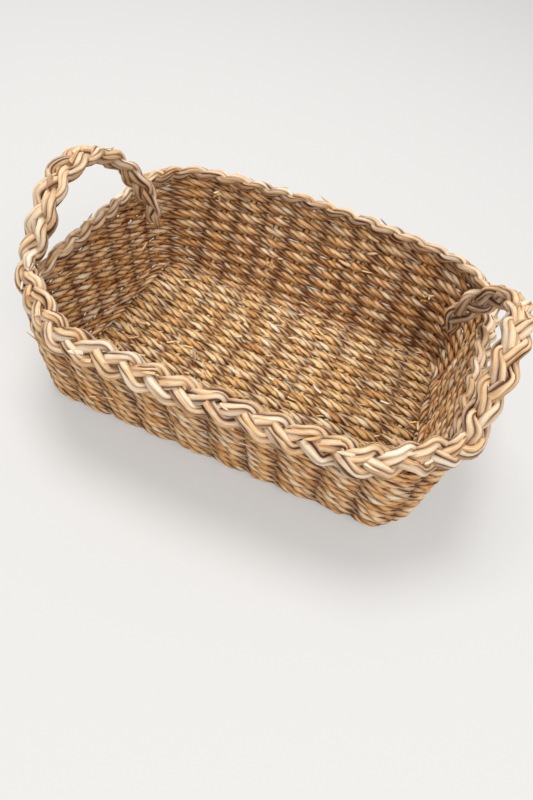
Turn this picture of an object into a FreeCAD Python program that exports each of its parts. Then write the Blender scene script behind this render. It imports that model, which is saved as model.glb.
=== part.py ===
import FreeCAD, Part
import math
import os

# A rectangular bread basket woven from twisted grass strands, in millimetres.
#
# Frame: X along the basket, -Y towards its front long side, +Z up. The origin is the middle of
# the base, on the plane the basket stands on.
#
# Construction: ten warps cross the base and turn up both long sides as wall stakes. Thick twisted
# strands are woven over one warp and under the next to make the base. More stakes stand in the
# ends and corners, and rings of the same strand are woven round all the stakes to make the walls.
# Two three-strand plaits cover the top edge: one runs up over the left end as a handle, along
# the front, and over the right end as the other handle; the second covers the ends and the back.

Vec = FreeCAD.Vector

# Base
BASE_LENGTH = 320.0            # wall mid-surface where the walls leave the base
BASE_WIDTH = 217.0
BASE_CORNER_RADIUS = 32.0
BASE_ROW_COUNT = 31            # odd, so the weave runs on unbroken into both long walls
BASE_ROW_SPACING = 6.2
BASE_ROW_END_GAP = 3.0         # from a row's end to the start of the fold
FOLD_RADIUS = 10.0             # the stakes' bend from base to wall

# Top edge
RIM_LENGTH = 336.0
RIM_WIDTH = 241.0
RIM_HEIGHT = 102.0             # middle of the plait, at the corners
RIM_CORNER_RADIUS = 45.0
RIM_BOW_LONG = 15.0            # outward bow of each long side
RIM_BOW_SHORT = -6.0           # the short sides bow slightly inwards
RIM_RISE = 4.0                 # the long sides stand this much higher in the middle

# Weave
STAKE_COUNT = 34               # all round the basket; even, so each ring closes
STAKE_HALF_THICKNESS = 1.8
STAKE_HALF_WIDTH = 3.0
STRAND_HALF_THICKNESS = 2.2
STRAND_HALF_WIDTH = 2.0        # where a strand passes between its neighbours
BASE_BULGE = 4.2               # half width of a base strand where it lies over a warp
WALL_BULGE = 3.7               # the same for a wall strand over a stake
FOLD_BULGE = 2.5               # and for the lowest wall strands, which the fold crowds together
WEAVE_GAP = 0.1
WEAVE_DEPTH = STAKE_HALF_THICKNESS + STRAND_HALF_THICKNESS + WEAVE_GAP
COURSE_COUNT = 19
COURSE_SPACING = 4.85
FIRST_COURSE = 1.5             # from the start of the fold, along the wall
STAKE_TOP = 88.5
STAKE_FOOT = 2.0               # where the end and corner stakes start, along the fold
BASE_MID_HEIGHT = WEAVE_DEPTH + STRAND_HALF_THICKNESS + WEAVE_GAP

# Plaits
PLAIT_LENGTH = 66.0            # one full swing of a strand from side to side and back
FRONT_STRAND_RADIUS = 3.6
FRONT_SWING = 8.4              # sideways swing of a strand from the plait's middle
FRONT_WAVE = 5.0               # in and out of the plait's face
BACK_STRAND_RADIUS = 3.4
BACK_SWING = 7.8
BACK_WAVE = 4.7
TAIL_LENGTH = 40.0             # the handle plait narrows over this length at its inside ends
TAIL_SHARE = 0.7               # to this share of its full size

# Handles: middle line of the plait on the right side, from the front rim over to its inside end.
# Each entry is a point, and the way the flat of the plait faces there.
HANDLE_LINE = [
    ((166.0, -92.0, 106.0), (0.5, -0.6, 0.6)),
    ((173.5, -80.0, 113.0), (0.4, -0.9, 0.2)),
    ((174.5, -68.0, 128.0), (0.1, -1.0, 0.3)),
    ((174.5, -49.0, 149.0), (0.0, -0.8, 0.6)),
    ((174.5, -22.0, 161.0), (0.0, -0.2, 1.0)),
    ((172.5, 6.0, 160.5), (0.1, 0.2, 1.0)),
    ((166.0, 29.0, 149.0), (0.4, 0.6, 0.7)),
    ((153.0, 41.0, 132.0), (0.3, 0.9, 0.4)),
    ((141.0, 46.0, 110.0), (0.1, 1.0, 0.0)),
    ((138.5, 50.0, 84.0), (0.0, 1.0, 0.0)),
]
HANDLE_TURN = 0.118            # share of a turn from the front middle to where each handle starts
BACK_PLAIT_START = -58.0       # y of the back plait's two ends, on the short sides

# Worked out from the sizes above
BASE_HALF_STRAIGHT = (BASE_LENGTH / 2 - BASE_CORNER_RADIUS, BASE_WIDTH / 2 - BASE_CORNER_RADIUS)
QUARTER_ARC = BASE_CORNER_RADIUS * math.pi / 2
QUARTER_TURN = BASE_HALF_STRAIGHT[0] + QUARTER_ARC + BASE_HALF_STRAIGHT[1]
STAKE_PITCH = 4 * QUARTER_TURN / STAKE_COUNT
FOLD_LENGTH = FOLD_RADIUS * math.pi / 2

# Sampling of the strand surfaces: four points to each turn or wave
RING_POINTS = 4                # round a strand
POINTS_PER_WARP = 4            # along a base strand, from one warp to the next
POINTS_PER_STAKE = 2           # along a wall strand, from one stake to the next
PLAIT_STEP = PLAIT_LENGTH / 8  # along a plaited strand, which waves twice in a plait length
STAKE_STEP = 8.0
SAG = 0.25                     # share of each bend by which a cubic surface lies inside its poles

NODES = {}


# ---- Shape of the basket's wall ----

def outline_point(turn, length, width, radius, bow_long, bow_short):
    """x and y on a rounded rectangle, and how much of the long sides' bow reaches that point.

    turn runs 0 to 1 anticlockwise from the middle of the front. The stretches keep the
    proportions of the base outline, so one turn stays on one stake line from base to rim.
    """
    # Work in the front right quarter, then mirror.
    side = (turn % 1.0) * 4 * QUARTER_TURN
    on_left = side > 2 * QUARTER_TURN
    if on_left:
        side = 4 * QUARTER_TURN - side
    on_back = side > QUARTER_TURN
    if on_back:
        side = 2 * QUARTER_TURN - side

    a = length / 2 - radius
    b = width / 2 - radius
    if side <= BASE_HALF_STRAIGHT[0]:
        x = a * side / BASE_HALF_STRAIGHT[0]
        y = -(b + radius)
    elif side <= BASE_HALF_STRAIGHT[0] + QUARTER_ARC:
        angle = (side - BASE_HALF_STRAIGHT[0]) / BASE_CORNER_RADIUS
        x = a + radius * math.sin(angle)
        y = -(b + radius * math.cos(angle))
    else:
        x = a + radius
        y = -b * (QUARTER_TURN - side) / BASE_HALF_STRAIGHT[1]

    long_share = max(0.0, 1 - (2 * x / length) ** 2) * abs(2 * y / width) ** 3
    short_share = max(0.0, 1 - (2 * y / width) ** 2) * abs(2 * x / length) ** 3
    x += bow_short * short_share
    y -= bow_long * long_share
    return (-x if on_left else x), (-y if on_back else y), long_share


def wall_point(turn, along):
    """Point of the wall's mid-surface, along mm up from the start of the fold at the base."""
    fold_top = BASE_MID_HEIGHT + FOLD_RADIUS
    if along < FOLD_LENGTH:
        angle = along / FOLD_RADIUS
        inset = FOLD_RADIUS * (1 - math.sin(angle))
        height = BASE_MID_HEIGHT + FOLD_RADIUS * (1 - math.cos(angle))
        share = 0.0
    else:
        inset = 0.0
        height = fold_top + along - FOLD_LENGTH
        share = (height - fold_top) / (RIM_HEIGHT - fold_top)
    length = BASE_LENGTH + share * (RIM_LENGTH - BASE_LENGTH) - 2 * inset
    width = BASE_WIDTH + share * (RIM_WIDTH - BASE_WIDTH) - 2 * inset
    radius = BASE_CORNER_RADIUS + share * (RIM_CORNER_RADIUS - BASE_CORNER_RADIUS) - inset
    bow_long = share * RIM_BOW_LONG
    bow_short = share * RIM_BOW_SHORT
    x, y, long_share = outline_point(turn, length, width, radius, bow_long, bow_short)
    return Vec(x, y, height + share * RIM_RISE * long_share)


def wall_frame(turn, along):
    """The wall's point and its directions: round the basket, up the wall, and outwards."""
    small_turn = 0.0005
    small_step = 0.1
    round_way = wall_point(turn + small_turn, along) - wall_point(turn - small_turn, along)
    round_way.normalize()
    up = wall_point(turn, along + small_step) - wall_point(turn, along - small_step)
    up.normalize()
    return wall_point(turn, along), round_way, up, round_way.cross(up).normalize()


def along_at_height(height):
    """Distance up the wall, from the start of the fold, at which a corner is at this height."""
    return height - BASE_MID_HEIGHT - FOLD_RADIUS + FOLD_LENGTH


# ---- Strand solids ----

def clamp_index(i, count, closed):
    return i % count if closed else min(max(i, 0), count - 1)


def strand(points, facings, thicknesses, widths, closed):
    """A strand along points, as one closed solid with an oval section.

    facings point out of its flat side and are never along the strand. thicknesses are half its
    size along the facing, and widths are half its size across.
    """
    count = len(points)
    rings = []
    for i in range(count):
        ahead = points[clamp_index(i + 1, count, closed)]
        behind = points[clamp_index(i - 1, count, closed)]
        tangent = (ahead - behind).normalize()
        first = facings[i] - tangent * facings[i].dot(tangent)
        first.normalize()
        second = tangent.cross(first)
        ring = []
        for j in range(RING_POINTS):
            angle = 2 * math.pi * j / RING_POINTS
            out = first * (thicknesses[i] * math.cos(angle))
            ring.append(points[i] + out + second * (widths[i] * math.sin(angle)))
        rings.append(ring)

    # A cubic surface sags inside its poles, so each pole is pushed out by the sag.
    poles = []
    for i in range(count):
        row = []
        for j in range(RING_POINTS):
            here = rings[i][j]
            sides = rings[i][j - 1] + rings[i][(j + 1) % RING_POINTS]
            pole = here - (sides - here * 2) * SAG
            if closed or 0 < i < count - 1:
                before = rings[(i - 1) % count][j]
                after = rings[(i + 1) % count][j]
                pole = pole - (before + after - here * 2) * SAG
            row.append(pole)
        poles.append(row)

    surface = Part.BSplineSurface()
    round_knots = list(range(RING_POINTS + 1))
    round_mults = [1] * (RING_POINTS + 1)
    if closed:
        long_knots = list(range(count + 1))
        long_mults = [1] * (count + 1)
    else:
        long_knots = list(range(count - 2))
        long_mults = [4] + [1] * (count - 4) + [4]
    surface.buildFromPolesMultsKnots(
        poles, long_mults, round_mults, long_knots, round_knots, closed, True, 3, 3)
    tube = surface.toShape()
    if closed:
        solid = Part.Solid(Part.Shell([tube]))
    else:
        ends = [surface.uIso(long_knots[0]).toShape(), surface.uIso(long_knots[-1]).toShape()]
        faces = [tube] + [Part.Face(Part.Wire(edge)) for edge in ends]
        shell = Part.Shell(faces)
        shell.sewShape()
        solid = Part.Solid(Part.Shell(shell.Faces))
    if solid.Volume < 0:
        solid.reverse()
    return solid


def add_node(name, solids):
    NODES[name] = Part.Compound(solids) if len(solids) > 1 else solids[0]


def stake_strand(points, facings):
    count = len(points)
    return strand(points, facings, [STAKE_HALF_THICKNESS] * count, [STAKE_HALF_WIDTH] * count, False)


def woven_strand(frame_at, stakes, row, bulge, closed):
    """One strand woven over one stake and under the next.

    stakes are the places along it, in stake numbers, and frame_at(stake) gives the point and the
    way out there. Strands of odd and even rows lie on opposite sides of each stake. A strand
    spreads out where it lies over a stake.
    """
    points = []
    facings = []
    widths = []
    for stake in stakes:
        point, out = frame_at(stake)
        swing = math.cos(math.pi * (stake + row))
        points.append(point + out * (WEAVE_DEPTH * swing))
        facings.append(out)
        widths.append(STRAND_HALF_WIDTH + (bulge - STRAND_HALF_WIDTH) * swing ** 2)
    return strand(points, facings, [STRAND_HALF_THICKNESS] * len(points), widths, closed)


def plait(line, radius, swing, wave, tail_length=0.0):
    """Three strands plaited along line, a list of (point, facing, distance)."""
    solids = []
    last = len(line) - 1
    for number in range(3):
        points = []
        facings = []
        radii = []
        for i, (point, facing, distance) in enumerate(line):
            tangent = (line[min(i + 1, last)][0] - line[max(i - 1, 0)][0]).normalize()
            out = (facing - tangent * facing.dot(tangent)).normalize()
            across = out.cross(tangent)
            size = 1.0
            from_end = min(distance, line[last][2] - distance)
            if from_end < tail_length:
                size = TAIL_SHARE + (1 - TAIL_SHARE) * from_end / tail_length
            phase = 2 * math.pi * (distance / PLAIT_LENGTH + number / 3)
            offset = across * (swing * math.sin(phase)) + out * (wave * math.sin(2 * phase))
            points.append(point + offset * size)
            facings.append(out)
            radii.append(radius * size)
        solids.append(strand(points, facings, radii, radii, closed=False))
    return solids


def evenly_spaced(points, facings, step):
    """Points at equal distances along a smooth curve through points, with blended facings."""
    curve = Part.BSplineCurve()
    curve.interpolate(points)
    length = curve.length()
    marks = [curve.parameter(p) for p in points]
    count = max(4, int(round(length / step)))
    line = []
    for i in range(count + 1):
        distance = length * i / count
        at = curve.parameterAtDistance(distance, curve.FirstParameter)
        at = min(max(at, marks[0]), marks[-1])
        k = 0
        while k < len(marks) - 2 and at > marks[k + 1]:
            k += 1
        share = (at - marks[k]) / (marks[k + 1] - marks[k])
        facing = facings[k] * (1 - share) + facings[k + 1] * share
        line.append((curve.value(at), facing.normalize(), distance))
    return line


# ---- Base ----

def stake_turn(number):
    """Turn of a stake; stake 0 is just right of the front middle, numbered anticlockwise."""
    return (number + 0.5) / STAKE_COUNT


def warp_numbers():
    """Stakes on the right half of the front that are ends of warps crossing the base."""
    last_x = BASE_LENGTH / 2 - FOLD_RADIUS - STAKE_HALF_WIDTH
    return [n for n in range(STAKE_COUNT) if (n + 0.5) * STAKE_PITCH < last_x]


def make_warps():
    top = along_at_height(STAKE_TOP)
    levels = int(top / STAKE_STEP)
    crossing_steps = int(BASE_WIDTH / STAKE_STEP)
    solids = []
    for number in warp_numbers():
        for side in (1, -1):
            turn = stake_turn(number) * side
            alongs = [top * (levels - i) / levels for i in range(levels + 1)]
            front = [wall_point(turn, along) for along in alongs]
            out = [wall_frame(turn, max(along, WEAVE_GAP))[3] for along in alongs]
            back = [Vec(p.x, -p.y, p.z) for p in reversed(front)]
            back_out = [Vec(f.x, -f.y, f.z) for f in reversed(out)]
            step = (back[0] - front[-1]) / crossing_steps
            crossing = [front[-1] + step * i for i in range(1, crossing_steps)]
            facings = out + [Vec(0, 0, -1)] * len(crossing) + back_out
            solids.append(stake_strand(front + crossing + back, facings))
    add_node("base_warps", solids)


def row_reach(y):
    """How far from the middle a base row at y may run, inside the rounded corners of the fold."""
    radius = BASE_CORNER_RADIUS - FOLD_RADIUS
    into_corner = max(0.0, abs(y) - BASE_HALF_STRAIGHT[1])
    return BASE_HALF_STRAIGHT[0] + math.sqrt(radius ** 2 - into_corner ** 2) - BASE_ROW_END_GAP


def make_base_rows():
    for row in range(BASE_ROW_COUNT):
        y = (row - (BASE_ROW_COUNT - 1) / 2) * BASE_ROW_SPACING

        def frame_at(stake, y=y):
            return Vec((stake + 0.5) * STAKE_PITCH, y, BASE_MID_HEIGHT), Vec(0, 0, 1)

        reach = row_reach(y) / STAKE_PITCH
        count = int(round(2 * reach * POINTS_PER_WARP))
        stakes = [reach * (2 * i / count - 1) - 0.5 for i in range(count + 1)]
        solid = woven_strand(frame_at, stakes, row, BASE_BULGE, closed=False)
        add_node("base_row_%02d" % (row + 1), [solid])


# ---- Walls ----

def make_end_stakes():
    top = along_at_height(STAKE_TOP)
    levels = int(top / STAKE_STEP)
    warps = len(warp_numbers())
    quarter = STAKE_COUNT / 4
    for name, middle in (("right_end_stakes", quarter), ("left_end_stakes", 3 * quarter)):
        solids = []
        for number in range(STAKE_COUNT):
            if abs(number + 0.5 - middle) > quarter - warps:
                continue
            turn = stake_turn(number)
            alongs = [STAKE_FOOT + (top - STAKE_FOOT) * i / levels for i in range(levels + 1)]
            points = [wall_point(turn, along) for along in alongs]
            facings = [wall_frame(turn, along)[3] for along in alongs]
            solids.append(stake_strand(points, facings))
        add_node(name, solids)


def make_wall_courses():
    for course in range(COURSE_COUNT):
        along = FIRST_COURSE + course * COURSE_SPACING

        def frame_at(stake, along=along):
            point, _, _, out = wall_frame((stake + 0.5) / STAKE_COUNT, along)
            return point, out

        stakes = [i / POINTS_PER_STAKE for i in range(STAKE_COUNT * POINTS_PER_STAKE)]
        near_fold = along < FOLD_LENGTH + COURSE_SPACING
        bulge = FOLD_BULGE if near_fold else WALL_BULGE
        solid = woven_strand(frame_at, stakes, course, bulge, closed=True)
        add_node("wall_course_%02d" % (course + 1), [solid])


# ---- Plaited top edge and handles ----

def rim_frame(turn):
    """Middle line of the top edge and the way the flat of its plait faces: out and up."""
    point, _, _, outward = wall_frame(turn, along_at_height(RIM_HEIGHT))
    return point, (Vec(outward.x, outward.y, 0).normalize() + Vec(0, 0, 1)).normalize()


def make_front_plait():
    handle = [(Vec(*point), Vec(*facing).normalize()) for point, facing in HANDLE_LINE]
    mirrored = [(Vec(-p.x, p.y, p.z), Vec(-f.x, f.y, f.z)) for p, f in handle]
    rim = [rim_frame(HANDLE_TURN * i / 4) for i in range(-4, 5)]
    whole = list(reversed(mirrored)) + rim + handle
    line = evenly_spaced([p for p, _ in whole], [f for _, f in whole], PLAIT_STEP)
    strands = plait(line, FRONT_STRAND_RADIUS, FRONT_SWING, FRONT_WAVE, TAIL_LENGTH)
    for number, solid in enumerate(strands):
        add_node("front_rim_and_handles_strand_%d" % (number + 1), [solid])


def make_back_plait():
    turn = 0.0
    while wall_point(turn, along_at_height(RIM_HEIGHT)).y < BACK_PLAIT_START:
        turn += 0.001
    stretch = 0.5 - turn
    rim = [rim_frame(turn + 2 * stretch * i / 24) for i in range(25)]
    line = evenly_spaced([p for p, _ in rim], [f for _, f in rim], PLAIT_STEP)
    strands = plait(line, BACK_STRAND_RADIUS, BACK_SWING, BACK_WAVE)
    for number, solid in enumerate(strands):
        add_node("back_rim_strand_%d" % (number + 1), [solid])


make_warps()
make_base_rows()
make_end_stakes()
make_wall_courses()
make_front_plait()
make_back_plait()

os.makedirs("parts", exist_ok=True)
for node_name, shape in NODES.items():
    shape.exportStep("parts/" + node_name + ".step")
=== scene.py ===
import math

import bpy
import numpy as np
from mathutils import Matrix, Vector


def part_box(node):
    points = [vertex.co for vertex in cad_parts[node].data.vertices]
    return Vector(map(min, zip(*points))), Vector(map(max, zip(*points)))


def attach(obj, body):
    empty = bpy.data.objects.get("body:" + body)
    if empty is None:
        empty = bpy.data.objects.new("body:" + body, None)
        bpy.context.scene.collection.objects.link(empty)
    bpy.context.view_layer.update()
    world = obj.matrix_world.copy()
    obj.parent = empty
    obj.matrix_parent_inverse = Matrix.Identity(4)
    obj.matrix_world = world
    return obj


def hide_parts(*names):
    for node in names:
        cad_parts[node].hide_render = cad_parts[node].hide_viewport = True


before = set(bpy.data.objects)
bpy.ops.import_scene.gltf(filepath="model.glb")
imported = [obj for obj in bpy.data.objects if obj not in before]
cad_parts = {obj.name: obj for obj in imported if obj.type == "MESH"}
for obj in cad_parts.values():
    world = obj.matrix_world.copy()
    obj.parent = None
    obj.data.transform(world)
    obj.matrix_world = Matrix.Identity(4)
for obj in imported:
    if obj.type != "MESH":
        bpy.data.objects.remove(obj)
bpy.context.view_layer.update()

# A rectangular bread basket woven from twisted grass, with a plaited rim and plaited handles.
# Lengths are in millimetres until a mesh is made. -Y is the front, +Z is up.

MM = 0.001


def box_mm(node):
    low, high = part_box(node)
    return np.array(low) / MM, np.array(high) / MM


# ---- Sizes ----

STAKE_COUNT = 34                # all round the basket
WARPS_EACH_SIDE = 5             # stakes each side of the middle that run on across the base
COURSE_COUNT = 19
COURSE_SPACING = 5.12
FIRST_COURSE = 1.5              # from the start of the fold, along the wall
BASE_ROW_COUNT = 31
ROWS_IN_PIECE = 8               # strands that are drawn as one piece, for the base and the walls
COURSES_IN_PIECE = 4

ROW_LOW, ROW_HIGH = box_mm("base_row_16")
BASE_MID_HEIGHT = (ROW_LOW[2] + ROW_HIGH[2]) / 2
FIRST_ROW_LOW, FIRST_ROW_HIGH = box_mm("base_row_01")
BASE_ROW_SPACING = -(FIRST_ROW_LOW[1] + FIRST_ROW_HIGH[1]) / (BASE_ROW_COUNT - 1)
BASE_LENGTH = 320.0             # wall mid-surface where the walls leave the base
BASE_WIDTH = 217.0
BASE_CORNER_RADIUS = 32.0
RIM_LENGTH = 336.0
RIM_WIDTH = 241.0
RIM_HEIGHT = 102.0
RIM_CORNER_RADIUS = 45.0
RIM_BOW_LONG = 15.0             # outward bow of the long sides at the rim
RIM_BOW_SHORT = 1.0
RIM_RISE = 4.0                  # the long sides stand this much higher in the middle
FOLD_RADIUS = 10.0              # bend from base to wall
ROW_END_GAP = 1.0
STAKE_TOP = 92.0
DRIFT_REACH = 140.0             # beyond this from the middle, the warps are evenly spaced
DRIFT_WAVES = [(2.6, 19.0, 1.0), (1.8, 11.3, 0.0)]      # height, length / 2 pi, phase

HALF_STRAIGHT = (BASE_LENGTH / 2 - BASE_CORNER_RADIUS, BASE_WIDTH / 2 - BASE_CORNER_RADIUS)
QUARTER_ARC = BASE_CORNER_RADIUS * math.pi / 2
QUARTER_TURN = HALF_STRAIGHT[0] + QUARTER_ARC + HALF_STRAIGHT[1]
STAKE_PITCH = 4 * QUARTER_TURN / STAKE_COUNT
FOLD_LENGTH = FOLD_RADIUS * math.pi / 2

# Middle line of the right handle, from the front rim over to its inside end, with the way the
# flat of the plait faces. The left handle is its mirror image.
HANDLE_LINE = [
    ((166.0, -92.0, 106.0), (0.5, -0.6, 0.6)),
    ((172.5, -80.0, 113.0), (0.4, -0.9, 0.2)),
    ((172.5, -68.0, 128.0), (0.1, -1.0, 0.3)),
    ((173.0, -49.0, 149.0), (0.0, -0.8, 0.6)),
    ((174.5, -22.0, 161.0), (0.0, -0.2, 1.0)),
    ((172.5, 6.0, 160.5), (0.1, 0.2, 1.0)),
    ((166.0, 29.0, 149.0), (0.4, 0.6, 0.7)),
    ((153.0, 41.0, 132.0), (0.3, 0.9, 0.4)),
    ((142.0, 47.0, 110.0), (0.1, 1.0, 0.0)),
    ((140.0, 52.0, 86.0), (0.0, 1.0, 0.0)),
]
HANDLE_TURN = 0.118             # along the outline, from the front middle to each handle
BACK_PLAIT_START = -86.0        # y where the back plait starts and ends
RIGHT_END_TURNS = (0.12, 0.35)  # a part of the outline that holds the right end


# ---- Small helpers ----

def unit(v):
    return v / np.linalg.norm(v, axis=-1, keepdims=True)


def smooth_noise(rng, count, step):
    """A smooth random curve of count values between about -1 and 1, wandering every step values."""
    knots = rng.uniform(-1, 1, int(count / step) + 5)
    at = np.linspace(1, len(knots) - 3, count)
    i = at.astype(int)
    t = at - i
    a, b, c, d = knots[i - 1], knots[i], knots[i + 1], knots[i + 2]
    return b * (1 - t) + c * t + ((a - b) * (1 - t) + (d - c) * t) * -t * (1 - t) / 2


def ring_noise(rng, count, step):
    """The same, but closing on itself."""
    knots = rng.uniform(-1, 1, max(4, int(count / step)))
    at = np.arange(count) / count * len(knots)
    i = at.astype(int) % len(knots)
    t = at - at.astype(int)
    ease = t * t * (3 - 2 * t)
    return knots[i] * (1 - ease) + knots[(i + 1) % len(knots)] * ease


# ---- Shape of the wall ----

TURN_STEP = 0.0005              # steps that the wall's directions are measured over
ALONG_STEP = 0.1


def outline(turn, length, width, radius, bow_long, bow_short):
    """x, y and long-side share on a rounded rectangle, anticlockwise from the front middle."""
    side = (turn % 1.0) * 4 * QUARTER_TURN
    on_left = side > 2 * QUARTER_TURN
    side = np.where(on_left, 4 * QUARTER_TURN - side, side)
    on_back = side > QUARTER_TURN
    side = np.where(on_back, 2 * QUARTER_TURN - side, side)
    a = length / 2 - radius
    b = width / 2 - radius
    angle = np.clip((side - HALF_STRAIGHT[0]) / BASE_CORNER_RADIUS, 0, math.pi / 2)
    along_front = np.clip(side / HALF_STRAIGHT[0], 0, 1)
    along_end = np.clip((QUARTER_TURN - side) / HALF_STRAIGHT[1], 0, 1)
    x = a * along_front + radius * np.sin(angle)
    y = -(b * along_end + radius * np.cos(angle))
    long_share = np.clip(1 - (2 * x / length) ** 2, 0, 1) * np.abs(2 * y / width) ** 3
    short_share = np.clip(1 - (2 * y / width) ** 2, 0, 1) * np.abs(2 * x / length) ** 3
    x = x + bow_short * short_share
    y = y - bow_long * long_share
    return np.where(on_left, -x, x), np.where(on_back, -y, y), long_share


def wall_point(turn, along):
    """Points of the wall's mid-surface, along mm up from the start of the fold at the base."""
    turn, along = np.broadcast_arrays(np.asarray(turn, float), np.asarray(along, float))
    fold_top = BASE_MID_HEIGHT + FOLD_RADIUS
    angle = np.clip(along / FOLD_RADIUS, 0, math.pi / 2)
    inset = FOLD_RADIUS * (1 - np.sin(angle))
    above = np.maximum(along - FOLD_LENGTH, 0)
    height = BASE_MID_HEIGHT + FOLD_RADIUS * (1 - np.cos(angle)) + above
    share = above / (RIM_HEIGHT - fold_top)
    length = BASE_LENGTH + share * (RIM_LENGTH - BASE_LENGTH) - 2 * inset
    width = BASE_WIDTH + share * (RIM_WIDTH - BASE_WIDTH) - 2 * inset
    radius = BASE_CORNER_RADIUS + share * (RIM_CORNER_RADIUS - BASE_CORNER_RADIUS) - inset
    x, y, long_share = outline(turn, length, width, radius, share * RIM_BOW_LONG, share * RIM_BOW_SHORT)
    return np.stack([x, y, height + share * RIM_RISE * long_share], axis=-1)


def wall_frame(turn, along):
    """The wall's points and its directions: round the basket, up the wall, and outwards."""
    round_way = unit(wall_point(turn + TURN_STEP, along) - wall_point(turn - TURN_STEP, along))
    below = np.maximum(along - ALONG_STEP, 0)
    up = unit(wall_point(turn, along + ALONG_STEP) - wall_point(turn, below))
    return wall_point(turn, along), round_way, up, unit(np.cross(round_way, up))


def along_at_height(height):
    return height - BASE_MID_HEIGHT - FOLD_RADIUS + FOLD_LENGTH


def drift(x):
    """How far the warps stand from even spacing, which hand weaving never keeps."""
    fade = np.clip(1 - (np.abs(x) / DRIFT_REACH) ** 4, 0, 1)
    return fade * sum(height * np.sin(x / length + phase) for height, length, phase in DRIFT_WAVES)


def warp_x(stake):
    x = (stake + 0.5) * STAKE_PITCH
    return x + drift(x)


def stake_turn(stake):
    turn = (np.asarray(stake, float) + 0.5) / STAKE_COUNT
    foot = wall_point(turn, 0.0)
    return turn - np.sign(foot[..., 1]) * drift(foot[..., 0]) / (4 * QUARTER_TURN)


# ---- Leaf and strand meshes ----

# Section of a folded leaf: across its width, out from its middle, and how much painted shade each point
# gets; the edges, where leaves meet, and the hidden underside are painted darkest.
LEAF_ACROSS = np.array([-1.0, -0.6, -0.08, 0.5, 1.0, 0.5, 0.0, -0.6])
LEAF_OUT = np.array([0.0, 0.85, 0.82, 1.0, 0.1, -0.7, -0.9, -0.7])
LEAF_EDGE_SHADE = np.array([1.0, 0.52, 0.22, 0.38, 1.0, 1.0, 1.0, 1.0])
# Painted shade round a loose end's section, lighter since it stands in the open.
LOOSE_EDGE_SHADE = np.array([0.6, 0.2, 0.1, 0.15, 0.6, 0.2, 0.2, 0.2])
LEAF_POINTS = len(LEAF_ACROSS)
CREASE_RANGE = (0.85, 1.15)

GRAIN_ALONG = 0.02              # scales of the fibres' pattern, along a leaf and across it
GRAIN_ACROSS = 0.3
UV_LAYER = "OFBake"
LEAF_GIRTH = 9.0
CELL_MARGIN = 0.1               # gaps round each band of the texture, as shares of the band
END_MARGIN = 0.003

# How a leaf lies in its bundle. Each wander is an amount, and the mm over which it changes.
LEAF_REACH = 0.55               # from the bundle's middle, as a share of its half size
LEAF_WIDTH = 2.5                # shared by all the leaves of the bundle
LEAF_THICKNESS = 0.42
TWIST_WANDER = (0.35, 25)
ANGLE_WANDER = (0.22, 16)
SWELL_WANDER = (0.13, 14)
REACH_WANDER = (0.2, 12)
TONE_WANDER = (0.15, 30)
MIDDLE_TONE = 0.62
TONE_SPREAD = 0.11

LOOSE_POINTS = 8
LOOSE_HALF_THICKNESS = 0.45
LOOSE_TONE = 0.56
LOOSE_TONE_SPREAD = 0.15
LOOSE_BEND = 0.3                # sideways, as a share of the loose end's length
LOOSE_LIFT = (0.05, 0.3)
LOOSE_TURN = 0.7
LOOSE_TWIST = 0.8
TIP_WIDTH = 0.15                # of a torn tip, as a share of the leaf's width
KNOT_SPREAD = 0.6
KNOT_LENGTHS = (0.6, 1.2)


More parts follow.
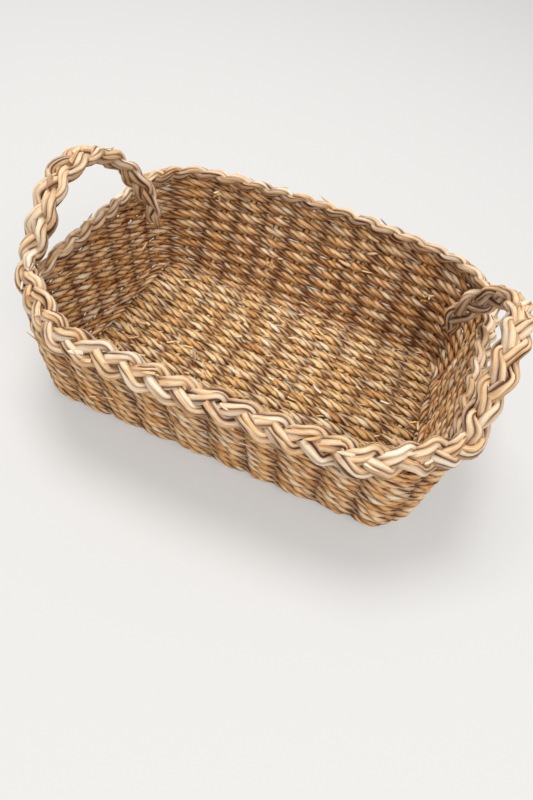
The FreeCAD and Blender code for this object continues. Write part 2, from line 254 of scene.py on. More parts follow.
class StrawMesh:
    """Collects leaves and makes one mesh of them, with the attributes that the material reads."""

    def __init__(self):
        self.points = []
        self.faces = []
        self.grain = []
        self.leaf = []
        self.groove_shade = []
        self.depth = []
        self.strips = []        # (quads along, whether closed, length in mm) of each leaf
        self.count = 0

    def add_leaf(self, rng, centre, across, out, half_width, half_thickness, tone, depth,
                 closed=False, edge=LEAF_EDGE_SHADE):
        """One leaf along centre; tone, depth (painted shade where it lies hidden) and the half sizes
        are arrays along it, and edge is the painted shade round its section.
        """
        n, m = len(centre), LEAF_POINTS
        crease = LEAF_OUT * rng.uniform(*CREASE_RANGE, m)
        rings = (centre[:, None] + across[:, None] * (half_width[:, None] * LEAF_ACROSS)[..., None]
                 + out[:, None] * (half_thickness[:, None] * crease)[..., None])
        index = np.arange(n * m).reshape(n, m) + self.count
        here = index if closed else index[:-1]
        ahead = np.roll(index, -1, axis=0) if closed else index[1:]
        quads = np.stack([here, np.roll(here, -1, axis=1), np.roll(ahead, -1, axis=1), ahead], axis=-1)
        self.faces += quads.reshape(-1, 4).tolist()
        if not closed:
            self.faces.append(index[0][::-1].tolist())
            self.faces.append(index[-1].tolist())
        step = np.linalg.norm(np.diff(centre, axis=0), axis=-1)
        distance = np.concatenate([[0.0], np.cumsum(step)])
        self.strips.append((len(here), closed, distance[-1]))
        grain = np.stack([np.repeat(distance[:, None] * GRAIN_ALONG, m, axis=1),
                          half_width[:, None] * LEAF_ACROSS * GRAIN_ACROSS,
                          half_thickness[:, None] * LEAF_OUT * GRAIN_ACROSS], axis=-1)
        grain_start = rng.uniform(0, 1000, 3)
        self.points.append(rings.reshape(-1, 3))
        self.grain.append((grain + grain_start).reshape(-1, 3))
        self.leaf.append(np.repeat(tone, m))
        self.groove_shade.append(np.tile(edge, n))
        self.depth.append(np.repeat(depth, m))
        self.count += n * m

    def texture_places(self):
        """Places in the texture: the leaves' quads unrolled and stacked as equal bands."""
        total = sum(length for _, _, length in self.strips)
        band = math.sqrt(total * LEAF_GIRTH)
        cuts = [max(1, round(length / band)) for _, _, length in self.strips]
        bands = sum(cuts)
        places = []
        first_band = 0
        m = LEAF_POINTS
        for (n, closed, _), cut in zip(self.strips, cuts):
            i = np.arange(n)
            piece = i * cut // n
            start = -(-piece * n // cut)
            size = -(-(piece + 1) * n // cut) - start
            left = END_MARGIN + (1 - 2 * END_MARGIN) * (i - start) / size
            right = END_MARGIN + (1 - 2 * END_MARGIN) * (i - start + 1) / size
            low = np.arange(m) / m
            row = (first_band + piece)[:, None]
            low_v = (row + CELL_MARGIN + low * (1 - 2 * CELL_MARGIN)) / bands
            high_v = (row + CELL_MARGIN + (low + 1 / m) * (1 - 2 * CELL_MARGIN)) / bands
            left = np.repeat(left[:, None], m, axis=1)
            right = np.repeat(right[:, None], m, axis=1)
            corners = [(left, low_v), (left, high_v), (right, high_v), (right, low_v)]
            places.append(np.stack([np.stack(c, axis=-1) for c in corners], axis=2).reshape(-1, 2))
            if not closed:
                for edge in ((left[0], low_v[0]), (right[-1], low_v[-1])):
                    places.append(np.stack(edge, axis=-1))
            first_band += cut
        return np.concatenate(places)

    def build(self, name, material, slot, *nodes):
        mesh = bpy.data.meshes.new(name)
        mesh.from_pydata((np.concatenate(self.points) * MM).tolist(), [], self.faces)
        mesh.attributes.new("grain", "FLOAT_VECTOR", "POINT").data.foreach_set(
            "vector", np.concatenate(self.grain).astype(np.float32).ravel())
        for attribute in ("leaf", "groove_shade", "depth"):
            values = np.concatenate(getattr(self, attribute)).astype(np.float32)
            mesh.attributes.new(attribute, "FLOAT", "POINT").data.foreach_set("value", values)
        places = mesh.uv_layers.new(name=UV_LAYER)
        places.data.foreach_set("uv", self.texture_places().astype(np.float32).ravel())
        mesh.shade_smooth()
        piece = bpy.data.objects.new(name, mesh)
        bpy.context.scene.collection.objects.link(piece)
        mesh.materials.append(material)
        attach(piece, "root")
        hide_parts(*nodes)
        return piece


def add_rope(out, rng, points, facings, thick, wide, leaves, lay, depth, tone=0.0, closed=False,
             looseness=1.0):
    """A twisted bundle of leaves along points.

    thick and wide are half the bundle's size along the facing and across it, and lay is the
    length of one full twist. depth, from 0 to 1, is painted shade: it grows as each
    point lies more hidden, and its colour is made that much darker.
    """
    n = len(points)
    if closed:
        tangent = unit(np.roll(points, -1, axis=0) - np.roll(points, 1, axis=0))
    else:
        tangent = unit(np.gradient(points, axis=0))
    first = unit(facings - tangent * np.sum(facings * tangent, axis=-1, keepdims=True))
    second = np.cross(tangent, first)
    step = np.linalg.norm(np.diff(points, axis=0), axis=-1)
    distance = np.concatenate([[0.0], np.cumsum(step)])
    step_length = distance[-1] / (n - 1)

    def wander(kind):
        amount, change_length = kind
        noise = ring_noise if closed else smooth_noise
        return amount * noise(rng, n, change_length / step_length)

    if closed:
        total = distance[-1] + np.linalg.norm(points[0] - points[-1])
        turning = 2 * math.pi * round(total / lay) * distance / total
    else:
        turning = 2 * math.pi * distance / lay
    turning = turning + rng.uniform(0, 2 * math.pi) + wander(TWIST_WANDER)
    thick = np.broadcast_to(thick, n)
    wide = np.broadcast_to(wide, n)
    depth = np.broadcast_to(depth, n)
    for leaf in range(leaves):
        angle = turning + 2 * math.pi * leaf / leaves + looseness * wander(ANGLE_WANDER)
        swell = 1 + wander(SWELL_WANDER)
        reach = LEAF_REACH * (1 + looseness * wander(REACH_WANDER))
        cos, sin = np.cos(angle), np.sin(angle)
        centre = (points + first * (thick * reach * cos)[:, None]
                  + second * (wide * reach * sin)[:, None])
        normal_1, normal_2 = cos / thick, sin / wide
        size = np.hypot(normal_1, normal_2)
        normal_1, normal_2 = normal_1 / size, normal_2 / size
        out_way = first * normal_1[:, None] + second * normal_2[:, None]
        across = first * -normal_2[:, None] + second * normal_1[:, None]
        spread = np.abs(normal_2) * thick + np.abs(normal_1) * wide
        through = np.abs(normal_1) * thick + np.abs(normal_2) * wide
        half_width = spread * swell * LEAF_WIDTH / leaves
        half_thickness = through * LEAF_THICKNESS * swell
        leaf_tone = MIDDLE_TONE + tone + TONE_SPREAD * rng.normal() + wander(TONE_WANDER)
        out.add_leaf(rng, centre, across, out_way, half_width, half_thickness, leaf_tone, depth,
                     closed)


def add_loose_end(out, rng, point, direction, normal, length, width, tone=0.1):
    """A loose end of one leaf: a thin curved ribbon that narrows to a torn tip."""
    t = np.linspace(0, 1, LOOSE_POINTS)
    side = unit(np.cross(direction, normal))
    bend = rng.uniform(-LOOSE_BEND, LOOSE_BEND)
    lift = rng.uniform(*LOOSE_LIFT)
    line = (point + np.outer(t * length, direction) + np.outer(t ** 2 * length * bend, side)
            + np.outer(t ** 1.5 * length * lift, normal))
    tangent = unit(np.gradient(line, axis=0))
    turn = rng.uniform(-LOOSE_TURN, LOOSE_TURN) + rng.uniform(-LOOSE_TWIST, LOOSE_TWIST) * t
    across = unit(np.cross(tangent, normal))
    facing = np.cross(across, tangent)
    across_turned = across * np.cos(turn)[:, None] + facing * np.sin(turn)[:, None]
    facing_turned = np.cross(across_turned, tangent)
    taper = np.clip(1.1 - t ** 4, TIP_WIDTH, 1)
    shade = np.full(LOOSE_POINTS, LOOSE_TONE + tone + LOOSE_TONE_SPREAD * rng.normal())
    thickness = np.full(LOOSE_POINTS, LOOSE_HALF_THICKNESS)
    depth = np.zeros(LOOSE_POINTS)
    out.add_leaf(rng, line, across_turned, facing_turned, width * taper, thickness, shade, depth,
                 edge=LOOSE_EDGE_SHADE)


def add_tuft(out, rng, point, normal, count, length, width):
    """A knot of short cut ends, as where a strand was joined."""
    for _ in range(count):
        way = unit(rng.normal(size=3) * KNOT_SPREAD + normal)
        start = np.array(point) + rng.uniform(-KNOT_SPREAD, KNOT_SPREAD, 3) * length
        facing = unit(np.cross(way, rng.normal(size=3)))
        add_loose_end(out, rng, start, way, facing, length * rng.uniform(*KNOT_LENGTHS), width)


# ---- Weave ----

WEAVE_DEPTH = 2.5               # a strand's middle stands this far off the stakes
STRAND_THICK = 2.4
SAMPLE_LENGTH = 1.9
LEAVES = 4
LAY = 42.0                      # one full twist of a strand
BASE_HALF_WIDTHS = (3.2, 4.8)   # of a strand: between two stakes, and over one
WALL_HALF_WIDTHS = (2.65, 3.9)
FOLD_BULGE = 3.0
BASE_TONE_SPREAD = 0.04
WALL_TONE_SPREAD = 0.03
FLATTENING = 0.18               # how much sooner than a sine wave a strand lies flat on a stake
# Painted shade on a woven strand: darkest midway between two stakes, where it crosses through the
# weave; this power sets how fast it fades.
HOLLOW_SHADE_POWER = 1.2

# Wanders of a strand: an amount, and the number of samples over which it changes.
PHASE_WANDER = (0.2, 16)
SIDE_WANDER = (0.55, 14)
WIDTH_WANDER = (0.1, 11)
THICKNESS_WANDER = (0.07, 13)

LOOSE_PER_ROW = 3
LOOSE_ON_ROW = ((5, 11), (0.7, 1.6))        # ranges of the length and the half width
LOOSE_PER_COURSE = 5
LOOSE_ON_COURSE = ((5, 12), (0.7, 1.7))
LOOSE_STAND = 2.0               # from the middle of a strand out to the loose ends on it
COVERED_COURSES = 3             # from here up, loose ends stand out on the outside as well

STAKE_HALF_SIZE = (1.7, 3.0)
STAKE_LEAVES = 3
STAKE_LAY = 90.0
# Painted shade on the stakes and warps, which lie hidden under the strands.
STAKE_HIDDEN_SHADE = 0.35
STAKE_SAMPLES = 34
WARP_SAMPLES = 70

# Knots of cut ends in the weave, each with the way it stands out.
KNOT_LEAVES = 9
KNOT_LENGTH = 6.0
KNOT_HALF_WIDTH = 1.2
KNOTS = [
    ((-58.0, -21.0, 14.5), (0, 0, 1)),
    ((-126.0, -45.0, 14.5), (0, 0, 1)),
    ((96.0, -84.0, 14.5), (0, 0, 1)),
    ((-110.0, 121.0, 92.0), (0, -1, 0)),
    ((-44.0, 111.5, 42.0), (0, -1, 0)),
    ((114.0, 114.5, 65.0), (0, -1, 0)),
]


def add_woven_strand(out, rng, points, outward, side_way, phase, narrow, bulge, closed, tone):
    """One strand woven over and under, given the mid-surface under it and its phase."""
    def wander(kind):
        amount, samples = kind
        noise = ring_noise if closed else smooth_noise
        return amount * noise(rng, len(points), samples)

    swing = np.cos(phase)
    swing = swing * (1 + FLATTENING - FLATTENING * swing ** 2)
    line = (points + outward * (WEAVE_DEPTH * swing)[:, None]
            + side_way * wander(SIDE_WANDER)[:, None])
    wide = (narrow + (bulge - narrow) * np.cos(phase) ** 2) * (1 + wander(WIDTH_WANDER))
    thick = STRAND_THICK * (1 + wander(THICKNESS_WANDER))
    # Painted shade, darkest midway between stakes where the strand crosses through the weave.
    hollow_shade = (1 - np.abs(np.cos(phase))) ** HOLLOW_SHADE_POWER
    add_rope(out, rng, line, outward, thick, wide, LEAVES, LAY, hollow_shade, tone, closed)


def row_reach(y):
    """How far from the middle a base row at y may run, inside the rounded corners of the fold."""
    radius = BASE_CORNER_RADIUS - FOLD_RADIUS
    into_corner = max(0.0, abs(y) - HALF_STRAIGHT[1])
    return HALF_STRAIGHT[0] + math.sqrt(radius ** 2 - into_corner ** 2) - ROW_END_GAP


def make_base_rows(first, last, material):
    out = StrawMesh()
    for row in range(first, last):
        rng = np.random.default_rng(100 + row)
        y = (row - (BASE_ROW_COUNT - 1) / 2) * BASE_ROW_SPACING
        reach = row_reach(y) / STAKE_PITCH
        n = int(2 * reach * STAKE_PITCH / SAMPLE_LENGTH)
        stakes = np.linspace(-reach, reach, n) - 0.5
        points = np.stack([warp_x(stakes), np.full(n, y), np.full(n, BASE_MID_HEIGHT)], axis=-1)
        up = np.tile([0.0, 0.0, 1.0], (n, 1))
        side_way = np.tile([0.0, 1.0, 0.0], (n, 1))
        amount, samples = PHASE_WANDER
        phase = math.pi * (stakes + row) + amount * smooth_noise(rng, n, samples)
        add_woven_strand(out, rng, points, up, side_way, phase, *BASE_HALF_WIDTHS, False,
                         rng.normal() * BASE_TONE_SPREAD)
        for _ in range(LOOSE_PER_ROW):
            i = rng.integers(4, n - 4)
            point = points[i] + up[i] * (WEAVE_DEPTH + LOOSE_STAND)
            way = unit(np.array([rng.choice([-1.0, 1.0]), rng.uniform(-0.8, 0.4), 0.1]))
            lengths, widths = LOOSE_ON_ROW
            add_loose_end(out, rng, point, way, up[i], rng.uniform(*lengths), rng.uniform(*widths))
    nodes = ["base_row_%02d" % (row + 1) for row in range(first, last)]
    return out.build("base_rows_%02d_to_%02d" % (first + 1, last), material, "inside_straw", *nodes)


def make_wall_courses(first, last, material):
    out = StrawMesh()
    n = int(STAKE_COUNT * STAKE_PITCH / SAMPLE_LENGTH)
    stakes = np.arange(n) * STAKE_COUNT / n
    turns = stake_turn(stakes)
    for course in range(first, last):
        rng = np.random.default_rng(200 + course)
        along = FIRST_COURSE + course * COURSE_SPACING
        points, round_way, up, outward = wall_frame(turns, along)
        amount, samples = PHASE_WANDER
        phase = math.pi * (stakes + course) + amount * ring_noise(rng, n, samples)
        narrow, bulge = WALL_HALF_WIDTHS
        if along < FOLD_LENGTH + COURSE_SPACING:
            bulge = FOLD_BULGE
        add_woven_strand(out, rng, points, outward, up, phase, narrow, bulge, True,
                         rng.normal() * WALL_TONE_SPREAD)
        for _ in range(LOOSE_PER_COURSE):
            i = rng.integers(0, n)
            side = rng.choice([-1.0, 1.0]) if course >= COVERED_COURSES else -1.0
            point = points[i] + outward[i] * side * (WEAVE_DEPTH + LOOSE_STAND)
            way = unit(round_way[i] * rng.choice([-1.0, 1.0]) + up[i] * rng.uniform(-0.7, 0.7))
            lengths, widths = LOOSE_ON_COURSE
            add_loose_end(out, rng, point, way, outward[i] * side,
                          rng.uniform(*lengths), rng.uniform(*widths))
    nodes = ["wall_course_%02d" % (course + 1) for course in range(first, last)]
    return out.build("wall_courses_%02d_to_%02d" % (first + 1, last), material, "woven_straw", *nodes)


def make_stakes(material):
    """The warps with their upturned ends, and the stakes of the ends and corners."""
    out = StrawMesh()
    rng = np.random.default_rng(300)
    along = np.linspace(0.5, along_at_height(STAKE_TOP), STAKE_SAMPLES)
    for stake in range(STAKE_COUNT):
        turns = np.full(STAKE_SAMPLES, stake_turn(stake))
        line, _, _, outward = wall_frame(turns, along)
        add_rope(out, rng, line, outward, *STAKE_HALF_SIZE, STAKE_LEAVES, STAKE_LAY, STAKE_HIDDEN_SHADE)
    n = WARP_SAMPLES
    up = np.tile([0.0, 0.0, 1.0], (n, 1))
    for stake in range(-WARPS_EACH_SIDE, WARPS_EACH_SIDE):
        y = np.linspace(-1, 1, n) * (BASE_WIDTH / 2 - FOLD_RADIUS + 1)
        line = np.stack([np.full(n, warp_x(stake)), y, np.full(n, BASE_MID_HEIGHT)], axis=-1)
        add_rope(out, rng, line, up, *STAKE_HALF_SIZE, STAKE_LEAVES, STAKE_LAY, STAKE_HIDDEN_SHADE)
    for point, normal in KNOTS:
        add_tuft(out, rng, point, normal, KNOT_LEAVES, KNOT_LENGTH, KNOT_HALF_WIDTH)
    return out.build("warps_and_stakes", material, "inside_straw",
                     "base_warps", "left_end_stakes", "right_end_stakes")


# ---- Plaits ----

PLAIT_LENGTH = 66.0
PLAIT_SAMPLE = 2.0
PLAIT_LEAVES = 5
PLAIT_LAY = 190.0
PLAIT_TONE = 0.05
PLAIT_LOOSENESS = 1.6
PLAIT_LOOSE_ENDS = 9
LOOSE_ON_PLAIT = ((6, 13), (0.9, 2.0))
LOOSE_REACH = 6.0               # of a plait's loose ends from its middle
# Painted shade where a plait's strand dips under the others.
PLAIT_HIDDEN_SHADE = 0.5
END_SIZE = 0.6                  # of a plait's thin ends, as a share of its full size
ROLL = 0.45                     # how far a strand leans as it crosses the plait
SQUEEZE = 0.32                  # how much narrower a strand is where it turns back
PHASE_DRIFT = (0.22, 22)        # wanders, as in the weave
SWING_DRIFT = (0.07, 15)
BULK_DRIFT = (0.08, 18)

# Loose leaves on the handles, for each strand: start, way, length, half width and tone.
HANDLE_ENDS = [
    [((-174.0, -43.0, 154.0), (-0.1, 0.05, 1.0), 13.0, 3.4, 0.1)],
    [((-174.0, -47.0, 146.0), (0.0, 0.0, -1.0), 15.0, 2.8, -0.1),
     ((-171.0, -20.0, 166.0), (-0.2, 1.0, 0.35), 11.0, 2.4, 0.1)],
    [((150.0, 44.0, 124.0), (-0.6, 0.5, -0.6), 10.0, 2.0, 0.1)],
]
HANDLE_END_FACING = np.array([0.9, 0.3, 0.3])
KNOB = (172.5, -6.0, 165.0)     # the cut ends on top of the right handle
KNOB_WAY = (0.2, 0.1, 1.0)
KNOB_LEAVES = 18
KNOB_LENGTH = 5.5
KNOB_HALF_WIDTH = 1.9
BACK_PLAIT_DIP = 3.0            # under the front plait, from y = -60 to y = -86


def spaced_line(points, facings):
    """Evenly spaced points along a smooth curve through points, with blended facings."""
    points = np.asarray(points, float)
    facings = unit(np.asarray(facings, float))
    padded = np.vstack([2 * points[0] - points[1], points, 2 * points[-1] - points[-2]])
    fine, turned = [], []
    for i in range(len(points) - 1):
        a, b, c, d = padded[i:i + 4]
        t = np.linspace(0, 1, 40, endpoint=False)[:, None]
        fine.append(0.5 * (2 * b + (c - a) * t + (2 * a - 5 * b + 4 * c - d) * t ** 2
                           + (3 * b - a - 3 * c + d) * t ** 3))
        turned.append(facings[i] * (1 - t) + facings[i + 1] * t)
    fine = np.vstack(fine + [points[-1:]])
    turned = np.vstack(turned + [facings[-1:]])
    distance = np.concatenate([[0], np.cumsum(np.linalg.norm(np.diff(fine, axis=0), axis=-1))])
    at = np.linspace(0, distance[-1], int(distance[-1] / PLAIT_SAMPLE))
    line = np.stack([np.interp(at, distance, fine[:, k]) for k in range(3)], axis=-1)
    facing = unit(np.stack([np.interp(at, distance, turned[:, k]) for k in range(3)], axis=-1))
    return line, facing, at


def add_plait_strand(out, rng, number, line, facing, distance, swing, wave, thick, wide, tail):
    """Strand number 0, 1 or 2 of a plait that runs along line.

    It swings across the plait and waves in and out of it; thick and wide are its half sizes, and
    the plait thins over the last tail mm of each end.
    """
    n = len(line)

    def drift_of(kind):
        amount, samples = kind
        return amount * smooth_noise(rng, n, samples)

    tangent = unit(np.gradient(line, axis=0))
    outward = unit(facing - tangent * np.sum(facing * tangent, axis=-1, keepdims=True))
    across = np.cross(outward, tangent)
    from_end = np.minimum(distance, distance[-1] - distance)
    size = np.clip(END_SIZE + (1 - END_SIZE) * from_end / tail, END_SIZE, 1.0)
    phase = 2 * math.pi * (distance / PLAIT_LENGTH + number / 3) + drift_of(PHASE_DRIFT)
    reach = swing * size * (1 + drift_of(SWING_DRIFT))
    # Straight runs between sharp turns at the plait's edges.
    zigzag = np.sin(phase) - np.sin(3 * phase) / 9 + np.sin(5 * phase) / 30
    centre = (line + across * (reach * zigzag)[:, None]
              + outward * (wave * size * np.sin(2 * phase))[:, None])
    roll = ROLL * np.cos(phase)
    facings = outward * np.cos(roll)[:, None] + across * np.sin(roll)[:, None]
    bulk = 1 + drift_of(BULK_DRIFT)
    squeeze = 1 - SQUEEZE * np.sin(phase) ** 2
    # Painted shade where the strand dips under the others.
    depth = PLAIT_HIDDEN_SHADE * np.clip(-np.sin(2 * phase), 0, 1)
    add_rope(out, rng, centre, facings, thick * size * bulk, wide * size * bulk * squeeze,
             PLAIT_LEAVES, PLAIT_LAY, depth, PLAIT_TONE, looseness=PLAIT_LOOSENESS)
    for _ in range(PLAIT_LOOSE_ENDS):
        i = rng.integers(4, n - 6)
        way = unit(tangent[i] * rng.choice([-1.0, 1.0]) + across[i] * rng.uniform(-0.8, 0.8))
        point = (line[i] + outward[i] * (wave + thick * 0.7)
                 + across[i] * rng.uniform(-LOOSE_REACH, LOOSE_REACH))
        lengths, widths = LOOSE_ON_PLAIT
        add_loose_end(out, rng, point, way, outward[i], rng.uniform(*lengths), rng.uniform(*widths))


def rim_line(turns):
    point, _, _, outward = wall_frame(np.asarray(turns, float), along_at_height(RIM_HEIGHT))
    flat = outward * [1, 1, 0]
    return point, unit(unit(flat) + [0, 0, 1])


def make_front_plait(material):
    """The plait that runs over one handle, along the front rim and over the other handle."""
    handle = [np.array(p) for p, _ in HANDLE_LINE]
    facing = [unit(np.array(f)) for _, f in HANDLE_LINE]
    mirror = np.array([-1.0, 1.0, 1.0])
    rim, rim_facing = rim_line(np.linspace(-HANDLE_TURN, HANDLE_TURN, 9))
    points = [p * mirror for p in reversed(handle)] + list(rim) + handle
    facings = [f * mirror for f in reversed(facing)] + list(rim_facing) + facing
    line, facing, distance = spaced_line(points, facings)
    for number in range(3):
        out = StrawMesh()
        rng = np.random.default_rng(400 + number)
        add_plait_strand(out, rng, number, line, facing, distance,
                         swing=7.0, wave=2.7, thick=3.3, wide=5.9, tail=45.0)
        for point, way, length, width, tone in HANDLE_ENDS[number]:
            add_loose_end(out, rng, np.array(point), unit(np.array(way)), HANDLE_END_FACING,
                          length, width, tone)
        if number == 0:
            add_tuft(out, rng, KNOB, KNOB_WAY, KNOB_LEAVES, KNOB_LENGTH, KNOB_HALF_WIDTH)
        name = "front_rim_and_handles_strand_%d" % (number + 1)
        out.build("straw_" + name, material, "plaited_straw", name)


def make_back_plait(material):
    """The plait along the right end, the back and the left end, from under the front plait."""
    turns = np.linspace(*RIGHT_END_TURNS, 800)
    along = along_at_height(RIM_HEIGHT)
    start = turns[np.argmin(np.abs(wall_point(turns, along)[:, 1] - BACK_PLAIT_START))]
    point, facing = rim_line(np.linspace(start, 1 - start, 60))
    point[:, 2] -= BACK_PLAIT_DIP * np.clip((-60 - point[:, 1]) / 26, 0, 1)
    line, facing, distance = spaced_line(point, facing)
    for number in range(3):
        out = StrawMesh()
        rng = np.random.default_rng(500 + number)
        add_plait_strand(out, rng, number, line, facing, distance,
                         swing=6.6, wave=2.6, thick=3.2, wide=5.5, tail=30.0)
        name = "back_rim_strand_%d" % (number + 1)
        out.build("straw_" + name, material, "plaited_straw", name)


# ---- Material ----

DARKEST = (0.14, 0.042, 0.008)
# Colour of the painted shade in the folds between leaves and where strands lie hidden.
PAINTED_SHADE = (0.085, 0.022, 0.003)
BROWN_PLACE = 0.25              # places of the two middle colours between the darkest and the palest
STRAW_PLACE = 0.6
FIBRE_CONTRAST = 1.1
BLOTCH_CONTRAST = 0.9
# How far the painted shade darkens the leaves' edges and undersides and the hidden parts of strands,
# its most, and how fast each fades.
GROOVE_SHADE_DARKNESS = 0.97
HOLLOW_SHADE_DARKNESS = 0.5
MOST_PAINTED_SHADE = 0.97
GROOVE_SHADE_FALLOFF = 1.45
HOLLOW_SHADE_FALLOFF = 1.3
FIBRES = (9.0, (0.5, 1.0, 1.0), 4.0)        # scale, stretch and detail of each pattern
BLOTCHES = (2.6, (1.6, 0.4, 0.4), 2.0)
ROUGHNESS = 0.42
ROUGHNESS_OF_FIBRES = 0.3
SHINE = 0.4
BUMP_STRENGTH = 0.8
BUMP_HEIGHT = 0.6 * MM


def make_straw(name, brown, straw, pale):
    """Dry grass: fibres along each leaf, a tone for each leaf, and painted shade in the folds between
    leaves and where strands lie hidden.
    """
    material = bpy.data.materials.new(name)
    material.use_nodes = True
    tree = material.node_tree
    nodes, links = tree.nodes, tree.links
    surface = nodes["Principled BSDF"]

    def attribute(label, output):
        node = nodes.new("ShaderNodeAttribute")
        node.attribute_name = label
        return node.outputs[output]

    def calculate(operation, a, b):
        node = nodes.new("ShaderNodeMath")
        node.operation = operation
        for socket, value in zip(node.inputs, (a, b)):
            if isinstance(value, (int, float)):
                socket.default_value = value
            else:
                links.new(value, socket)
        return node.outputs[0]

    def noise(vector, scale, stretch, detail):
        mapping = nodes.new("ShaderNodeMapping")
        mapping.inputs["Scale"].default_value = stretch
        links.new(vector, mapping.inputs["Vector"])
        node = nodes.new("ShaderNodeTexNoise")
        node.inputs["Scale"].default_value = scale
        node.inputs["Detail"].default_value = detail
        links.new(mapping.outputs[0], node.inputs["Vector"])
        return node.outputs["Fac"]

    grain = attribute("grain", "Vector")
    fibres = noise(grain, *FIBRES)
    blotches = noise(grain, *BLOTCHES)

    fibre_tone = calculate("MULTIPLY", calculate("SUBTRACT", fibres, 0.5), FIBRE_CONTRAST)
    blotch_tone = calculate("MULTIPLY", calculate("SUBTRACT", blotches, 0.5), BLOTCH_CONTRAST)
    tone = calculate("ADD", attribute("leaf", "Fac"), fibre_tone)
    tone = calculate("ADD", tone, blotch_tone)
    ramp = nodes.new("ShaderNodeValToRGB")
    ramp.color_ramp.elements[0].position = 0.0
    ramp.color_ramp.elements[0].color = (*DARKEST, 1)
    ramp.color_ramp.elements[1].position = 1.0
    ramp.color_ramp.elements[1].color = (*pale, 1)
    ramp.color_ramp.elements.new(BROWN_PLACE).color = (*brown, 1)
    ramp.color_ramp.elements.new(STRAW_PLACE).color = (*straw, 1)
    links.new(tone, ramp.inputs["Fac"])

    # Painted shade: the leaves' edges and undersides and the hidden parts of strands are darkened
    # towards the shade colour.
    shade_node = nodes.new("ShaderNodeMixRGB")
    shade_node.blend_type = "MULTIPLY"
    groove_shade = calculate("POWER", attribute("groove_shade", "Fac"), GROOVE_SHADE_FALLOFF)
    hollow_shade = calculate("POWER", attribute("depth", "Fac"), HOLLOW_SHADE_FALLOFF)
    amount = calculate("ADD", calculate("MULTIPLY", groove_shade, GROOVE_SHADE_DARKNESS),
                       calculate("MULTIPLY", hollow_shade, HOLLOW_SHADE_DARKNESS))
    links.new(calculate("MINIMUM", amount, MOST_PAINTED_SHADE), shade_node.inputs["Fac"])
    links.new(ramp.outputs["Color"], shade_node.inputs["Color1"])
    shade_node.inputs["Color2"].default_value = (*PAINTED_SHADE, 1)
    links.new(shade_node.outputs["Color"], surface.inputs["Base Color"])

    roughness = calculate("ADD", calculate("MULTIPLY", fibres, ROUGHNESS_OF_FIBRES), ROUGHNESS)
    links.new(roughness, surface.inputs["Roughness"])
    surface.inputs["Specular IOR Level"].default_value = SHINE

    bump = nodes.new("ShaderNodeBump")
    bump.inputs["Strength"].default_value = BUMP_STRENGTH
    bump.inputs["Distance"].default_value = BUMP_HEIGHT
    links.new(fibres, bump.inputs["Height"])
    links.new(bump.outputs["Normal"], surface.inputs["Normal"])
    return material


# ---- Floor, light and camera, in metres ----

FLOOR_HALF_SIZE = 4.0
FLOOR_COLOUR = (0.38, 0.376, 0.368, 1)
FLOOR_GLOW_COLOUR = (1.0, 0.99, 0.975, 1)   # a faint glow keeps the shadow on the floor pale
FLOOR_GLOW = 0.32
FLOOR_ROUGHNESS = 0.9
FLOOR_SHINE = 0.2
SKY_STRENGTH = 0.55
# Name, place, point aimed at, diameter, power in watts and colour of each light.
LIGHTS = [
    ("key_window", (-0.38, 0.3, 2.0), (0, 0, 0.03), 1.0, 31, (1.0, 0.985, 0.96)),
    ("soft_fill", (0.9, -1.2, 1.5), (0, 0, 0.05), 1.3, 19, (1.0, 0.99, 0.97)),
]
CAMERA_AZIMUTH = 13.31          # degrees, from the front towards the right
CAMERA_ELEVATION = 48.48
CAMERA_ROLL = 11.95
CAMERA_DISTANCE = 0.5485
CAMERA_TARGET = (0.0159, -0.0228, 0.0)
SENSOR_HEIGHT = 36.0            # mm
FOCAL_LENGTH = 27.2


def make_floor():
    size = FLOOR_HALF_SIZE
    mesh = bpy.data.meshes.new("floor")
    corners = [(-size, -size, 0), (size, -size, 0), (size, size, 0), (-size, size, 0)]
    mesh.from_pydata(corners, [], [(0, 1, 2, 3)])
    floor = bpy.data.objects.new("floor", mesh)
    bpy.context.scene.collection.objects.link(floor)
    material = bpy.data.materials.new("pale_floor")
    material.use_nodes = True
    surface = material.node_tree.nodes["Principled BSDF"]
    surface.inputs["Base Color"].default_value = FLOOR_COLOUR
    surface.inputs["Emission Color"].default_value = FLOOR_GLOW_COLOUR
    surface.inputs["Emission Strength"].default_value = FLOOR_GLOW
    surface.inputs["Roughness"].default_value = FLOOR_ROUGHNESS
    surface.inputs["Specular IOR Level"].default_value = FLOOR_SHINE
    mesh.materials.append(material)


def add_area_light(name, place, target, size, power, colour):
    data = bpy.data.lights.new(name, "AREA")
    data.shape = "DISK"
    data.size = size
    data.energy = power
    data.color = colour
    light = bpy.data.objects.new(name, data)
    light.location = place
    light.rotation_euler = (Vector(target) - Vector(place)).to_track_quat("-Z", "Y").to_euler()
    bpy.context.scene.collection.objects.link(light)


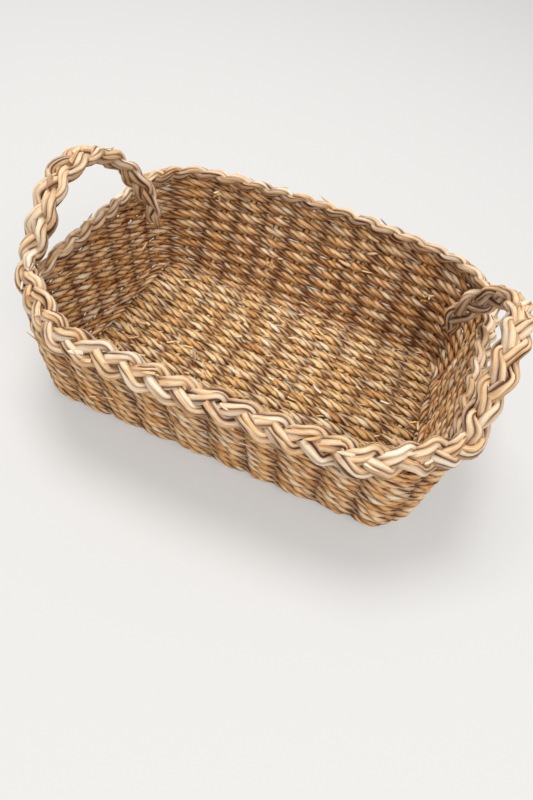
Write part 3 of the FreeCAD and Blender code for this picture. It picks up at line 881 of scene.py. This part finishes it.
def make_light():
    world = bpy.data.worlds.new("studio")
    world.use_nodes = True
    sky = world.node_tree.nodes["Background"]
    sky.inputs["Color"].default_value = (0.97, 0.98, 1.0, 1)
    sky.inputs["Strength"].default_value = SKY_STRENGTH
    bpy.context.scene.world = world
    for light in LIGHTS:
        add_area_light(*light)


def make_camera():
    """Looks down at the basket from the front, a little from the right, and turned clockwise."""
    azimuth = math.radians(CAMERA_AZIMUTH)
    elevation = math.radians(CAMERA_ELEVATION)
    roll = math.radians(CAMERA_ROLL)
    back = Vector((math.sin(azimuth) * math.cos(elevation),
                   -math.cos(azimuth) * math.cos(elevation),
                   math.sin(elevation)))
    right = Vector((0, 0, 1)).cross(back).normalized()
    up = back.cross(right)
    turned_right = right * math.cos(roll) + up * math.sin(roll)
    turned_up = up * math.cos(roll) - right * math.sin(roll)
    data = bpy.data.cameras.new("camera")
    data.sensor_fit = "VERTICAL"
    data.sensor_height = SENSOR_HEIGHT
    data.lens = FOCAL_LENGTH
    data.clip_start = 0.01
    camera = bpy.data.objects.new("camera", data)
    pose = Matrix((turned_right, turned_up, back)).transposed().to_4x4()
    pose.translation = Vector(CAMERA_TARGET) + back * CAMERA_DISTANCE
    camera.matrix_world = pose
    bpy.context.scene.collection.objects.link(camera)
    bpy.context.scene.camera = camera


# ---- Everything ----

INSIDE = make_straw("inside_straw", (0.66, 0.29, 0.06), (1.0, 0.64, 0.27), (1.0, 0.88, 0.65))
WOVEN = make_straw("woven_straw", (0.68, 0.28, 0.06), (1.0, 0.60, 0.26), (1.0, 0.86, 0.63))
PLAITED = make_straw("plaited_straw", (0.64, 0.32, 0.11), (0.93, 0.62, 0.34), (1.0, 0.85, 0.66))

for first_row in range(0, BASE_ROW_COUNT, ROWS_IN_PIECE):
    make_base_rows(first_row, min(first_row + ROWS_IN_PIECE, BASE_ROW_COUNT), INSIDE)
for first_course in range(0, COURSE_COUNT, COURSES_IN_PIECE):
    make_wall_courses(first_course, min(first_course + COURSES_IN_PIECE, COURSE_COUNT), WOVEN)
make_stakes(INSIDE)
make_front_plait(PLAITED)
make_back_plait(PLAITED)
make_floor()
make_light()
make_camera()
bpy.context.scene.view_settings.view_transform = "Standard"
